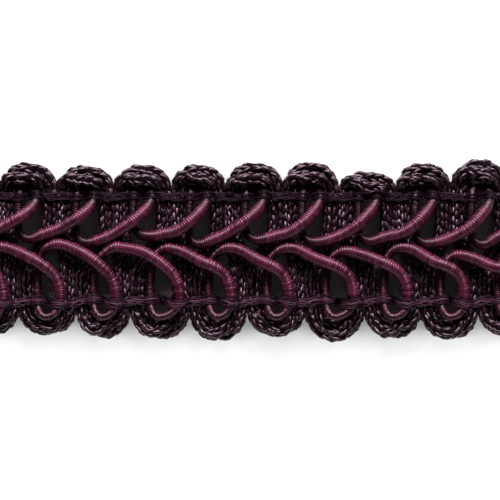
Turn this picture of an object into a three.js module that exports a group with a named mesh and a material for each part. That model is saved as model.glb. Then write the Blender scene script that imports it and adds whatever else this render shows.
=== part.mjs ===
// Braid trim of the gimp kind, a cut length lying face up: two knitted ground cords run side by side from
// edge to edge in scallops, two thread-wrapped satin cords write a row of loops along each edge, and two
// narrow bands of binding threads hold the feet of all the loops. Millimetres, +X along the trim, +Z up.
import * as THREE from "three";

const GROUND_WIDTH = 0.56; // the solid of a ground cord, a little under the 0.7 that its fibres fill
const SATIN_SLIM = 0.58; // the solid of a satin cord where it is pressed or bends tightly
const SATIN_FULL = 0.8; // and where it runs free
const HEAD_MARGIN = 0.36; // from a scallop's tip to the middle of its outer cord
const HEAD_SPACING = 0.68; // between the middles of the paired ground cords at the tip
const LEG_MARGIN = 0.29; // the same for the legs, which lie pressed together
const LEG_SPACING = 0.58;
const GROUND_SIDES = 8;
const SATIN_SIDES = 7;

const GROUND_HEIGHT = 0.5; // middle of a ground cord that lies on the binding
const DIP_HEIGHT = 0.36; // middle of a ground cord pressed down where its partner crosses
const LIFT_HEIGHT = 0.96; // middle of the crossing ground cord
const SHIFT_HEIGHT = 0.14; // how far the paired legs lie above and below each other where they slant
const LEG_HEIGHT = 1.05; // satin cord on its way back, beside the ground cords
const OVER_HEIGHT = 1.36; // satin cord that sweeps over the ground cords
const CREST_HEIGHT = 1.84; // satin cord that sweeps over its own way back

const UPPER_BAND = 3.87; // middle of each binding band, across the trim
const LOWER_BAND = -3.68;
const BAND_WIDTH = 0.46;
const BAND_THICKNESS = 0.1;
const BAND_CLEARANCE = 0.06;
const SAME_RUN = 0.8; // feet closer together than this share one arch of the band
const UNDER_ARCH = 0.45; // a low foot this close beside a high one lies under that one's arch
const HIGH_FOOT = 0.8; // the middle of a high foot lies above this
const SHOULDER_OUT = 0.8; // the shoulders of an arch, as shares of its radius
const SHOULDER_UP = 0.6;
const SIDE_SHARE = 0.62; // where an arch's side bends, as a share of its foot's height
const SIDE_LEAN = 0.01; // how far a side lies outside the foot at that bend, and at its floor
const SIDE_TOE = 0.04;
const STRAIGHT = 0.004; // three points that span less than this lie on one line
const BAND_MARGIN = 0.04; // how far beside the band a foot still counts as passing through it
const TUNNEL_FLOOR = 0.075; // floor of the way through for one run of feet
const TUNNEL_FALL = 0.01; // and how much higher it lies at its right end
const PASSAGE_SAMPLES = 12; // samples of a cord between two of its points
const BAND_LANDING = 1.02; // feet further apart than this let the band down to its base between them
const BAND_NOTCH = 0.55; // top of the band where it dips between two close feet of the satin cord

const UPPER_FOOT = 4.39; // where each half-round of a scallop begins
const LOWER_FOOT = -4.18;
const SCALLOPS = 10; // whole scallops on each edge
const PITCH = 4.09;

const named = (columns, rows) =>
  rows.map((row) => Object.fromEntries(columns.split(" ").map((name, i) => [name, row[i]])));

// One row per scallop of the upper edge. x is its middle, half its half width, tip the height of its outer
// edge, turn the angle round it at which the ground cords change sides; hook, belly and rise shift the
// satin sweep that ends in it. The last row only begins, at the cut.
const UPPER_LOOPS = named("x half tip turn hook belly rise", [
  [-19.16, 2.0, 6.14, 40, 0.0, 0.14, 0.21],
  [-15.11, 2.05, 6.25, 34, 0.0, 0.32, 0.29],
  [-11.01, 2.04, 6.04, 40, 0.04, 0.25, 0.21],
  [-6.91, 2.06, 6.11, 38, -0.21, -0.13, 0.04],
  [-2.92, 1.94, 6.14, 48, 0.36, 0.14, -0.11],
  [1.09, 2.07, 6.25, 24, -0.32, -0.14, 0.04],
  [5.14, 1.98, 6.32, 32, 0.0, 0.0, -0.18],
  [9.18, 2.05, 5.61, 50, -0.14, -0.21, -0.18],
  [13.2, 1.97, 6.21, 28, -0.11, 0.0, -0.21],
  [17.26, 2.08, 6.5, 52, -0.24, -0.29, -0.25],
  [21.38, 2.04, 6.21, 40, -0.39, 0.07, -0.07],
]);

// The same for the lower edge; foot shifts the end of the sweep along the trim.
const LOWER_LOOPS = named("x half tip turn hook belly rise foot", [
  [-17.84, 2.04, -6.07, 70, 0.0, 0.0, 0.0, 0.0],
  [-13.75, 2.05, -6.04, 112, 0.0, 0.07, 0.04, 0.0],
  [-9.76, 1.94, -6.32, 72, 0.18, 0.29, 0.24, -0.04],
  [-5.7, 2.13, -6.39, 80, -0.29, 0.11, 0.36, 0.46],
  [-1.52, 2.05, -6.5, 88, 0.07, -0.11, -0.27, -0.07],
  [2.63, 2.1, -6.18, 118, 0.0, 0.0, -0.21, -0.07],
  [6.83, 2.1, -6.5, 110, 0.0, 0.0, -0.18, 0.32],
  [10.97, 2.04, -6.32, 88, -0.21, -0.25, -0.18, 0.04],
  [15.05, 2.04, -6.39, 100, 0.07, 0.0, -0.29, 0.0],
  [19.14, 2.05, -6.14, 80, -0.43, -0.57, -0.61, 0.0],
  [23.23, 2.04, -6.32, 90, -0.07, 0.0, 0.0, 0.0],
]);

// Angles from the left foot over the tip to the right foot at which the rounds are drawn.
const ROUND_ANGLES = [0, 17, 34, 51, 68, 85, 102, 119, 136, 152, 167, 180];
const ROUND_FULLNESS = 0.84; // under 1 squares the round a little
const FIRST_NORMAL = 4; // nearer to its feet than this, a half-round's normal stays as it is there
const LAST_NORMAL = 176;
const SAME_POINT = 1e-5; // vertices of a swept cord this near to half its width from a point belong to it
const CHANGE_SPAN = 60; // degrees of a round over which the ground cords change sides
const RISE_SPAN = 34; // degrees over which the crossing cord rises, or falls
const UPPER_RISE = 44; // degrees before the change at which it begins to rise, at each edge
const LOWER_RISE = 50;
const UPPER_FALL_END = 176; // at the upper edge it stays up almost to its foot
const UPPER_FALL_SPAN = 36;
const DIP_REACH = 1.6; // how far its partner stays pressed down, and how gently that ends
const DIP_SPAN = 24;
const FOOT_EASE = 0.65; // a leg ends this far before its half-round
const LOOSENESS = 0.6; // how soon the pressed legs open out into the round

// The satin cord's sweep towards a scallop, from the hook under the scallop before it. x is measured from
// the middle of the scallop that it ends in, y and z are the trim's own, and full runs from 0, where the
// cord is slim, to 1, where it is full.
const UPPER_SWEEP = named("x y z full", [
  [-4.68, 1.71, LEG_HEIGHT, 0],
  [-4.56, 1.14, 1.08, 0.1],
  [-4.22, 0.79, 1.2, 0.3],
  [-3.74, 0.7, 1.31, 0.7],
  [-3.07, 0.84, OVER_HEIGHT, 1],
  [-2.36, 1.08, OVER_HEIGHT, 1],
  [-1.71, 1.33, 1.43, 1],
  [-1.14, 1.64, 1.68, 1],
  [-0.58, 2.05, CREST_HEIGHT, 1],
  [-0.04, 2.54, 1.73, 1],
  [0.38, 3.03, 1.46, 0.85],
  [0.61, 3.5, 1.2, 0.4],
]);
const UPPER_RETURN = named("x y z full tipShare", [
  [0.66, 3.87, 1.0, 0, 0],
  [0.51, 4.22, 0.54, 0, 0.25],
  [0.0, 4.42, 0.42, 0, 0.3],
  [-0.49, 4.2, 0.56, 0, 0.25],
  [-0.6, 3.75, 0.96, 0, 0],
  [-0.68, 3.0, LEG_HEIGHT, 0, 0],
]);
const LOWER_SWEEP = named("x y z full", [
  [-4.52, -1.07, LEG_HEIGHT, 0],
  [-4.4, -0.56, 1.06, 0.1],
  [-4.12, -0.14, 1.18, 0.3],
  [-3.66, 0.1, 1.3, 0.6],
  [-3.15, 0.14, OVER_HEIGHT, 0.9],
  [-2.54, 0.0, OVER_HEIGHT, 1],
  [-1.86, -0.24, 1.43, 1],
  [-1.14, -0.56, 1.68, 1],
  [-0.54, -0.88, CREST_HEIGHT, 1],
  [0.05, -1.31, 1.73, 1],
  [0.55, -1.84, 1.48, 1],
  [0.86, -2.46, 1.37, 1],
  [0.99, -3.07, 1.34, 0.9],
]);
const LOWER_RETURN = named("x y z full footShare", [
  [1.0, -3.61, 1.34, 0.5, 1],
  [0.86, -4.2, 1.42, 0.1, 0.7],
  [0.42, -4.66, 1.5, 0, 0.2],
  [-0.12, -4.76, 1.47, 0, 0],
  [-0.5, -4.38, 1.3, 0, 0],
  [-0.62, -3.6, 1.06, 0, 0],
  [-0.6, -2.0, 1.0, 0, 0],
]);
const USUAL_TIP = 6.05;
const USUAL_HALF = 2.04;
const UPPER_RETURN_OFFSET = -0.68; // the end of each way back, from the middle of its scallop
const LOWER_RETURN_OFFSET = -0.5;
const HOOK_AT = -4.14; // where along a sweep its three shifts are measured, and where they end
const BELLY_AT = -2.86;
const RISE_AT = -1.29;
const SETTLED_AT = 0.57;
const FOOT_FROM = -2.14; // the foot's shift grows from here over this length
const FOOT_SPAN = 2.57;
const UPPER_CUTS = { first: -2, last: -1.1 }; // where the satin cords are cut, along the end sweeps
const LOWER_CUTS = { first: -3.3, last: -2.5 };
const SHIFT_FROM = -1.6; // the legs shift sideways only in the middle of the trim
const SHIFT_TO = 1.4;

const ease = (t) => {
  const s = Math.min(1, Math.max(0, t));
  return s * s * (3 - 2 * s);
};

// A cord's middle line, with the cord's width at each of its points. Its steps fall evenly between the
// points, so the tight rounds get as many as they have points.
class Route extends THREE.CatmullRomCurve3 {
  constructor(points, widths) {
    super(points, false, "catmullrom", 0.5);
    this.widths = widths;
  }
  widthAt(u) {
    const place = u * (this.points.length - 1);
    const before = Math.min(Math.floor(place), this.points.length - 2);
    return THREE.MathUtils.lerp(this.widths[before], this.widths[before + 1], place - before);
  }
  getUtoTmapping(u) {
    return u;
  }
}

// One ground cord round one scallop. crossing is 1 for the cord that passes over and -1 for its partner;
// edge is 1 for the upper edge and -1 for the lower.
function round(loop, edge, crossing) {
  const foot = edge > 0 ? UPPER_FOOT : LOWER_FOOT;
  const outward = Math.abs(loop.tip - foot) - HEAD_MARGIN - HEAD_SPACING / 2;
  return ROUND_ANGLES.map((angle) => {
    const a = THREE.MathUtils.degToRad(angle);
    const loose = Math.abs(Math.sin(a)) ** LOOSENESS;
    const spacing = THREE.MathUtils.lerp(LEG_SPACING, HEAD_SPACING, loose);
    const across = loop.half - THREE.MathUtils.lerp(LEG_MARGIN, HEAD_MARGIN, loose) - spacing / 2;
    const side = -Math.sign(Math.cos(a));
    const x = side * Math.abs(Math.cos(a)) ** ROUND_FULLNESS * across;
    const y = Math.abs(Math.sin(a)) ** ROUND_FULLNESS * outward;
    const b = THREE.MathUtils.degToRad(THREE.MathUtils.clamp(angle, FIRST_NORMAL, LAST_NORMAL));
    const normal = new THREE.Vector2(
      (-Math.cos(b) * Math.abs(Math.cos(b)) ** (1 - ROUND_FULLNESS)) / across,
      (Math.sin(b) * Math.abs(Math.sin(b)) ** (1 - ROUND_FULLNESS)) / outward,
    ).normalize();
    const past = angle - loop.turn;
    const change = ease(past / CHANGE_SPAN + 0.5);
    const offset = (crossing * (1 - 2 * change) * spacing) / 2;
    let z = GROUND_HEIGHT + (DIP_HEIGHT - GROUND_HEIGHT) * ease(DIP_REACH - Math.abs(past) / DIP_SPAN);
    if (crossing > 0) {
      const up = ease((past + (edge > 0 ? UPPER_RISE : LOWER_RISE)) / RISE_SPAN);
      const upperFall = ease((UPPER_FALL_END - angle) / UPPER_FALL_SPAN);
      const lowerFall = ease((LOWER_RISE - past) / RISE_SPAN);
      const down = edge > 0 ? upperFall : lowerFall;
      z = GROUND_HEIGHT + (LIFT_HEIGHT - GROUND_HEIGHT) * up * down;
    }
    return new THREE.Vector3(loop.x + x + normal.x * offset, foot + edge * (y + normal.y * offset), z);
  });
}

// A leg between the foot of one scallop and the foot of the next: straight at both ends, so that it lies
// against its neighbours there, and shifted along the trim in between.
function leg(from, to, crossing) {
  const bends = from.y < to.y ? [SHIFT_FROM, SHIFT_TO] : [SHIFT_TO, SHIFT_FROM];
  const z = GROUND_HEIGHT + crossing * SHIFT_HEIGHT;
  return [
    from,
    new THREE.Vector3(from.x, bends[0], z),
    new THREE.Vector3(to.x, bends[1], z),
    to,
  ];
}

function groundRoute(crossing) {
  const leftInset = LEG_MARGIN + (crossing > 0 ? 0 : LEG_SPACING);
  const rightInset = LEG_MARGIN + (crossing > 0 ? LEG_SPACING : 0);
  const at = (x, y) => new THREE.Vector3(x, y, GROUND_HEIGHT);
  const leftOf = (loop) => loop.x - loop.half + leftInset;
  const rightOf = (loop) => loop.x + loop.half - rightInset;
  const points = [];
  for (let k = 0; k <= SCALLOPS; k++) {
    const upper = UPPER_LOOPS[k];
    const start = k ? rightOf(LOWER_LOOPS[k - 1]) : rightOf(LOWER_LOOPS[0]) - PITCH;
    const first = at(start, LOWER_FOOT + (k ? FOOT_EASE : 0));
    const last = at(leftOf(upper), UPPER_FOOT - (k < SCALLOPS ? FOOT_EASE : 0));
    points.push(...leg(first, last, crossing));
    if (k === SCALLOPS) break;
    points.push(...round(upper, 1, crossing));
    const lower = LOWER_LOOPS[k];
    const down = at(rightOf(upper), UPPER_FOOT - FOOT_EASE);
    points.push(...leg(down, at(leftOf(lower), LOWER_FOOT + FOOT_EASE), crossing));
    points.push(...round(lower, -1, crossing));
  }
  return new Route(points, points.map(() => GROUND_WIDTH));
}

// How far a sweep lies from its usual course, x from the middle of the scallop that it ends in.
function shiftOf(loop, x) {
  const knots = [
    [HOOK_AT, loop.hook],
    [BELLY_AT, loop.belly],
    [RISE_AT, loop.rise],
    [SETTLED_AT, 0],
  ];
  if (x <= knots[0][0]) return knots[0][1];
  for (let i = 1; i < knots.length; i++) {
    const [a, p] = knots[i - 1];
    const [b, q] = knots[i];
    if (x <= b) return p + (q - p) * ease((x - a) / (b - a));
  }
  return 0;
}

function satinRoute(loops, sweep, back, returnOffset, cuts) {
  const points = [];
  const widths = [];
  const add = (x, y, z, full) => {
    points.push(new THREE.Vector3(x, y, z));
    widths.push(THREE.MathUtils.lerp(SATIN_SLIM, SATIN_FULL, full));
  };
  loops.forEach((loop, k) => {
    const foot = loop.foot || 0;
    for (const p of sweep) {
      if (k === 0 && p.x < cuts.first) continue;
      if (k === SCALLOPS && p.x > cuts.last) continue;
      const hanging = p.x < sweep[2].x;
      const x = hanging
        ? loops[k - 1].x + returnOffset + p.x - sweep[0].x
        : loop.x + p.x + foot * ease((p.x - FOOT_FROM) / FOOT_SPAN);
      const z = k === SCALLOPS ? Math.min(p.z, OVER_HEIGHT) : p.z;
      add(x, p.y + shiftOf(loop, p.x), z, p.full);
    }
    if (k === SCALLOPS) return;
    for (const p of back) {
      const spread = "tipShare" in p ? loop.half / USUAL_HALF : 1;
      const lift = (p.tipShare || 0) * (loop.tip - USUAL_TIP);
      add(loop.x + p.x * spread + foot * (p.footShare || 0), p.y + lift, p.z, p.full);
    }
  });
  return new Route(points, widths);
}

// Each point of a swept cord is moved in or out from the middle line, to the cord's width at its step.
function setWidths(geometry, route, swept) {
  const position = geometry.attributes.position;
  const p = new THREE.Vector3();
  for (let i = 0; i < position.count; i++) {
    p.fromBufferAttribute(position, i);
    const step = route.points.findIndex((q) => Math.abs(q.distanceTo(p) - swept / 2) < SAME_POINT);
    p.sub(route.points[step]).multiplyScalar(route.widths[step] / swept).add(route.points[step]);
    position.setXYZ(i, p.x, p.y, p.z);
  }
}

// A cord: its round section carried along its route.
function cord(name, route, sides, material) {
  const swept = Math.max(...route.widths);
  const section = new THREE.Shape(
    Array.from({ length: sides }, (_, i) => {
      const a = (2 * Math.PI * (i + 0.5)) / sides;
      return new THREE.Vector2(Math.cos(a), Math.sin(a)).multiplyScalar(swept / 2);
    }),
  );
  const geometry = new THREE.ExtrudeGeometry(section, {
    steps: route.points.length - 1,
    bevelEnabled: false,
    extrudePath: route,
  });
  setWidths(geometry, route, swept);
  const mesh = new THREE.Mesh(geometry, material);
  mesh.name = name;
  return mesh;
}

// Every place where a route passes through a band: the stretch of x that it takes up and its top height.
function passages(route, middle) {
  const reach = BAND_WIDTH / 2 + BAND_MARGIN;
  const count = (route.points.length - 1) * PASSAGE_SAMPLES;
  const found = [];
  let open = null;
  for (let i = 0; i <= count; i++) {
    const p = route.getPoint(i / count);
    if (Math.abs(p.y - middle) < reach) {
      open = open || { from: p.x, to: p.x, z: p.z, radius: 0 };
      open.from = Math.min(open.from, p.x);
      open.to = Math.max(open.to, p.x);
      open.z = Math.max(open.z, p.z);
      open.radius = Math.max(open.radius, route.widthAt(i / count) / 2);
    } else if (open) {
      found.push(open);
      open = null;
    }
  }
  if (open) found.push(open);
  return found;
}

// The top of the cover over one run of neighbouring feet, clear of them by the given amount. A foot close
// beside a higher one, or under it, lies under that one's arch.
function archOver(run, clear) {
  const isHigh = (p) => p.z > HIGH_FOOT;
  const besideHigh = (p) =>
    run.some((q) => isHigh(q) && !isHigh(p) && q.from - UNDER_ARCH < p.to && q.to + UNDER_ARCH > p.from);
  return run
    .filter((p) => !besideHigh(p))
    .flatMap((p) => {
      const r = p.radius + clear;
      const middle = [(p.from + p.to) / 2, p.z + r];
      if (!isHigh(p)) return [middle];
      const shoulder = p.z + SHOULDER_UP * r;
      return [[p.from - SHOULDER_OUT * r, shoulder], middle, [p.to + SHOULDER_OUT * r, shoulder]];
    });
}

// The side of that cover, from its end foot down to the given floor.
function sideOf(foot, clear, direction, floor) {
  const r = foot.radius + clear;
  const edge = direction < 0 ? foot.from : foot.to;
  return [
    [edge + direction * (r + SIDE_LEAN), foot.z * SIDE_SHARE],
    [edge + direction * (r + SIDE_TOE), floor],
  ];
}

// Points as vectors, without those that lie on the straight line between their neighbours.
function asVectors(points) {
  const bends = points.filter((p, i) => {
    const [a, b] = [points[i - 1], points[i + 1]];
    if (!a || !b) return true;
    return Math.abs((p[0] - a[0]) * (b[1] - a[1]) - (p[1] - a[1]) * (b[0] - a[0])) > STRAIGHT;
  });
  return bends.map(([x, z]) => new THREE.Vector2(x, z));
}

// A binding band: flat underneath, arched over each run of feet, and down inside each scallop, to its base
// where the two feet of the satin cord leave room for it.
function band(name, middle, routes, material) {
  const feet = routes.flatMap((route) => passages(route, middle)).sort((a, b) => a.from - b.from);
  const runs = [];
  let reach = -Infinity;
  for (const foot of feet) {
    if (foot.from - reach > SAME_RUN) runs.push([]);
    runs[runs.length - 1].push(foot);
    reach = Math.max(reach, foot.to);
  }
  const clear = BAND_CLEARANCE + BAND_THICKNESS;
  const top = [];
  runs.forEach((run, i) => {
    const before = runs[i - 1];
    const left = sideOf(run[0], clear, -1, BAND_THICKNESS);
    const right = sideOf(run[run.length - 1], clear, 1, BAND_THICKNESS);
    if (before) {
      const from = before[before.length - 1].to;
      const room = run[0].from - from;
      if (room > BAND_LANDING) top.push(...left.slice().reverse());
      else top.push([from + room / 2, BAND_NOTCH]);
    } else {
      top.push(...left.slice().reverse());
    }
    top.push(...archOver(run, clear));
    const after = runs[i + 1];
    if (!after || after[0].from - run[run.length - 1].to > BAND_LANDING) top.push(...right);
  });
  const outline = new THREE.Shape([
    new THREE.Vector2(top[0][0], 0),
    new THREE.Vector2(top[top.length - 1][0], 0),
    ...asVectors(top).reverse(),
  ]);
  outline.holes = runs.map((run) => {
    const left = sideOf(run[0], BAND_CLEARANCE, -1, TUNNEL_FLOOR).reverse();
    const right = sideOf(run[run.length - 1], BAND_CLEARANCE, 1, TUNNEL_FLOOR + TUNNEL_FALL);
    return new THREE.Path(asVectors([...left, ...archOver(run, BAND_CLEARANCE), ...right]));
  });
  const geometry = new THREE.ExtrudeGeometry(outline, { depth: BAND_WIDTH, bevelEnabled: false });
  geometry.rotateX(Math.PI / 2);
  geometry.translate(0, middle + BAND_WIDTH / 2, 0);
  const mesh = new THREE.Mesh(geometry, material);
  mesh.name = name;
  return mesh;
}

const knitted = new THREE.MeshStandardMaterial({ color: 0x37262f, roughness: 0.6, metalness: 0 });
const satin = new THREE.MeshStandardMaterial({ color: 0x562c3c, roughness: 0.35, metalness: 0 });
const binding = new THREE.MeshStandardMaterial({ color: 0x33242d, roughness: 0.5, metalness: 0 });

const groundA = groundRoute(1);
const groundB = groundRoute(-1);
const satinUpper = satinRoute(UPPER_LOOPS, UPPER_SWEEP, UPPER_RETURN, UPPER_RETURN_OFFSET, UPPER_CUTS);
const satinLower = satinRoute(LOWER_LOOPS, LOWER_SWEEP, LOWER_RETURN, LOWER_RETURN_OFFSET, LOWER_CUTS);

const group = new THREE.Group();
group.name = "braid_trim";
group.add(
  cord("ground_cord_a", groundA, GROUND_SIDES, knitted),
  cord("ground_cord_b", groundB, GROUND_SIDES, knitted.clone()),
  cord("satin_cord_upper", satinUpper, SATIN_SIDES, satin),
  cord("satin_cord_lower", satinLower, SATIN_SIDES, satin.clone()),
  band("binding_upper", UPPER_BAND, [groundA, groundB, satinUpper], binding),
  band("binding_lower", LOWER_BAND, [groundA, groundB, satinLower], binding.clone()),
);

export default group;
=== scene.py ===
"""Scalloped gimp braid, a cut length lying face up on a pale floor.

Two knitted ground cords run side by side from edge to edge in scallops. Two satin cords, thread
wound round a core, write a row of loops along each edge, and two bands of binding threads hold
the feet of all the loops. Lengths below are millimetres, +X along the trim and +Z up, and turn
into metres at the end.
"""

import math

import bpy
import numpy as np
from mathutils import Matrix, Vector


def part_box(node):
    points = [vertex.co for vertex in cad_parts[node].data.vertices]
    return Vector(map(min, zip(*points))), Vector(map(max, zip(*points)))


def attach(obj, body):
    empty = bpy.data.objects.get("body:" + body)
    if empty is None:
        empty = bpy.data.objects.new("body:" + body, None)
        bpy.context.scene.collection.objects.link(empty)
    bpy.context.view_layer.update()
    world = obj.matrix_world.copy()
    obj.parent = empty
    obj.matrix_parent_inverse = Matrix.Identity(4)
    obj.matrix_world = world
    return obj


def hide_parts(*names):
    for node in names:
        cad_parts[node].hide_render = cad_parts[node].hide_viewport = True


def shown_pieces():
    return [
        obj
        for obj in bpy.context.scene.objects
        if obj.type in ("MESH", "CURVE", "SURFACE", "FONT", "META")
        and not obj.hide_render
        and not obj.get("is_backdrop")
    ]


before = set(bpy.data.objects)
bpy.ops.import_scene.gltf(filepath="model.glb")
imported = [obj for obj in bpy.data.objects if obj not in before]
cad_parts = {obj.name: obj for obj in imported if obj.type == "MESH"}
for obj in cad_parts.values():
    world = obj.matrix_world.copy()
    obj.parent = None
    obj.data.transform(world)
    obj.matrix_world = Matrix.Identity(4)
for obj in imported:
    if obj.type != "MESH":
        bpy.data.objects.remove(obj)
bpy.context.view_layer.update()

MM = 0.001

# The trim's own measures, the same as those of its solids.
HEAD_MARGIN = 0.36  # from a scallop's tip to the middle of its outer cord
HEAD_SPACING = 0.68  # between the middles of the paired ground cords at the tip
LEG_MARGIN = 0.29  # the same for the legs, which lie pressed together
LEG_SPACING = 0.58
GROUND_HEIGHT = 0.5  # middle of a ground cord that lies on the binding
DIP_HEIGHT = 0.36  # middle of a ground cord pressed down where its partner crosses
LIFT_HEIGHT = 0.96  # middle of the crossing ground cord
SHIFT_HEIGHT = 0.14  # how far the paired legs lie above and below each other where they slant
LEG_HEIGHT = 1.05  # satin cord on its way back, beside the ground cords
OVER_HEIGHT = 1.36  # satin cord that sweeps over the ground cords
CREST_HEIGHT = 1.84  # satin cord that sweeps over its own way back
UPPER_BAND = 3.87  # middle of each binding band, across the trim
LOWER_BAND = -3.68
UPPER_FOOT = 4.39  # where each half-round of a scallop begins
LOWER_FOOT = -4.18
SCALLOPS = 10  # whole scallops on each edge
PITCH = 4.09  # from one scallop to the next

# One row per scallop: its middle, half width, outer edge, the angle at which the ground cords
# change sides, and the shifts of the satin sweep that ends in it.
UPPER_COLUMNS = "x half tip turn hook belly rise"
UPPER_LOOPS = [
    (-19.16, 2.0, 6.14, 40, 0.0, 0.14, 0.21),
    (-15.11, 2.05, 6.25, 34, 0.0, 0.32, 0.29),
    (-11.01, 2.04, 6.04, 40, 0.04, 0.25, 0.21),
    (-6.91, 2.06, 6.11, 38, -0.21, -0.13, 0.04),
    (-2.92, 1.94, 6.14, 48, 0.36, 0.14, -0.11),
    (1.09, 2.07, 6.25, 24, -0.32, -0.14, 0.04),
    (5.14, 1.98, 6.32, 32, 0.0, 0.0, -0.18),
    (9.18, 2.05, 5.61, 50, -0.14, -0.21, -0.18),
    (13.2, 1.97, 6.21, 28, -0.11, 0.0, -0.21),
    (17.26, 2.08, 6.5, 52, -0.24, -0.29, -0.25),
    (21.38, 2.04, 6.21, 40, -0.39, 0.07, -0.07),
]
LOWER_COLUMNS = "x half tip turn hook belly rise foot"
LOWER_LOOPS = [
    (-17.84, 2.04, -6.07, 70, 0.0, 0.0, 0.0, 0.0),
    (-13.75, 2.05, -6.04, 112, 0.0, 0.07, 0.04, 0.0),
    (-9.76, 1.94, -6.32, 72, 0.18, 0.29, 0.24, -0.04),
    (-5.7, 2.13, -6.39, 80, -0.29, 0.11, 0.36, 0.46),
    (-1.52, 2.05, -6.5, 88, 0.07, -0.11, -0.27, -0.07),
    (2.63, 2.1, -6.18, 118, 0.0, 0.0, -0.21, -0.07),
    (6.83, 2.1, -6.5, 110, 0.0, 0.0, -0.18, 0.32),
    (10.97, 2.04, -6.32, 88, -0.21, -0.25, -0.18, 0.04),
    (15.05, 2.04, -6.39, 100, 0.07, 0.0, -0.29, 0.0),
    (19.14, 2.05, -6.14, 80, -0.43, -0.57, -0.61, 0.0),
    (23.23, 2.04, -6.32, 90, -0.07, 0.0, 0.0, 0.0),
]
ROUND_ANGLES = [0, 17, 34, 51, 68, 85, 102, 119, 136, 152, 167, 180]
ROUND_FULLNESS = 0.84  # under 1 squares the round a little
FIRST_NORMAL = 4  # nearer to its feet than this, a half-round's normal stays as it is there
LAST_NORMAL = 176
CHANGE_SPAN = 60  # degrees of a round over which the ground cords change sides
RISE_SPAN = 34  # degrees over which the crossing cord rises, or falls
UPPER_RISE = 44  # degrees before the change at which it begins to rise, at each edge
LOWER_RISE = 50
UPPER_FALL_END = 176  # at the upper edge it stays up almost to its foot
UPPER_FALL_SPAN = 36
DIP_REACH = 1.6  # how far its partner stays pressed down, and how gently that ends
DIP_SPAN = 24
FOOT_EASE = 0.65  # a leg ends this far before its half-round
LOOSENESS = 0.6  # how soon the pressed legs open out into the round

# The satin sweeps and ways back: x from the middle of the scallop, y, z, how full the cord is
# there, and on the way back how far a point follows the scallop's own tip or foot.
UPPER_SWEEP = [
    (-4.68, 1.71, LEG_HEIGHT, 0),
    (-4.56, 1.14, 1.08, 0.1),
    (-4.22, 0.79, 1.2, 0.3),
    (-3.74, 0.7, 1.31, 0.7),
    (-3.07, 0.84, OVER_HEIGHT, 1),
    (-2.36, 1.08, OVER_HEIGHT, 1),
    (-1.71, 1.33, 1.43, 1),
    (-1.14, 1.64, 1.68, 1),
    (-0.58, 2.05, CREST_HEIGHT, 1),
    (-0.04, 2.54, 1.73, 1),
    (0.38, 3.03, 1.46, 0.85),
    (0.61, 3.5, 1.2, 0.4),
]
UPPER_RETURN = [
    (0.66, 3.87, 1.0, 0, 0),
    (0.51, 4.22, 0.54, 0, 0.25),
    (0.0, 4.42, 0.42, 0, 0.3),
    (-0.49, 4.2, 0.56, 0, 0.25),
    (-0.6, 3.75, 0.96, 0, 0),
    (-0.68, 3.0, LEG_HEIGHT, 0, 0),
]
LOWER_SWEEP = [
    (-4.52, -1.07, LEG_HEIGHT, 0),
    (-4.4, -0.56, 1.06, 0.1),
    (-4.12, -0.14, 1.18, 0.3),
    (-3.66, 0.1, 1.3, 0.6),
    (-3.15, 0.14, OVER_HEIGHT, 0.9),
    (-2.54, 0.0, OVER_HEIGHT, 1),
    (-1.86, -0.24, 1.43, 1),
    (-1.14, -0.56, 1.68, 1),
    (-0.54, -0.88, CREST_HEIGHT, 1),
    (0.05, -1.31, 1.73, 1),
    (0.55, -1.84, 1.48, 1),
    (0.86, -2.46, 1.37, 1),
    (0.99, -3.07, 1.34, 0.9),
]
LOWER_RETURN = [
    (1.0, -3.61, 1.34, 0.5, 1),
    (0.86, -4.2, 1.42, 0.1, 0.7),
    (0.42, -4.66, 1.5, 0, 0.2),
    (-0.12, -4.76, 1.47, 0, 0),
    (-0.5, -4.38, 1.3, 0, 0),
    (-0.62, -3.6, 1.06, 0, 0),
    (-0.6, -2.0, 1.0, 0, 0),
]
USUAL_TIP = 6.05
USUAL_HALF = 2.04
UPPER_RETURN_OFFSET = -0.68  # the end of each way back, from the middle of its scallop
LOWER_RETURN_OFFSET = -0.5
HOOK_AT, BELLY_AT, RISE_AT = -4.14, -2.86, -1.29  # where along a sweep its shifts are measured
SETTLED_AT = 0.57  # and where they end
FOOT_FROM = -2.14  # the foot's shift grows from here over this length
FOOT_SPAN = 2.57
UPPER_CUTS = (-2, -1.1)  # where the satin cords are cut, along the end sweeps
LOWER_CUTS = (-3.3, -2.5)
SHIFT_FROM = -1.6  # the legs shift sideways only in the middle of the trim
SHIFT_TO = 1.4

# What the real fibres fill, from the middle of a cord outward.
LEG_HALF_WIDTH = 0.4
LEG_HALF_HEIGHT = 0.38
HEAD_RADIUS = 0.54
HEAD_INSET = 0.08  # the fuller cord's middle lies further in from a scallop's edge than its solid's
CROSSING_SWING = 0.2  # both cords swing outward where they cross, so a scallop stays round
SATIN_SLIM = 0.29
SATIN_FULL = 0.44
THREAD_RADIUS = 0.046


def named(columns, rows):
    return [dict(zip(columns.split(), row)) for row in rows]


def ease(t):
    t = min(1.0, max(0.0, t))
    return t * t * (3 - 2 * t)


def mix(a, b, t):
    return a + (b - a) * t


def unit(v):
    return v / np.maximum(np.linalg.norm(v, axis=-1, keepdims=True), 1e-12)


# The routes of the cords


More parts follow.
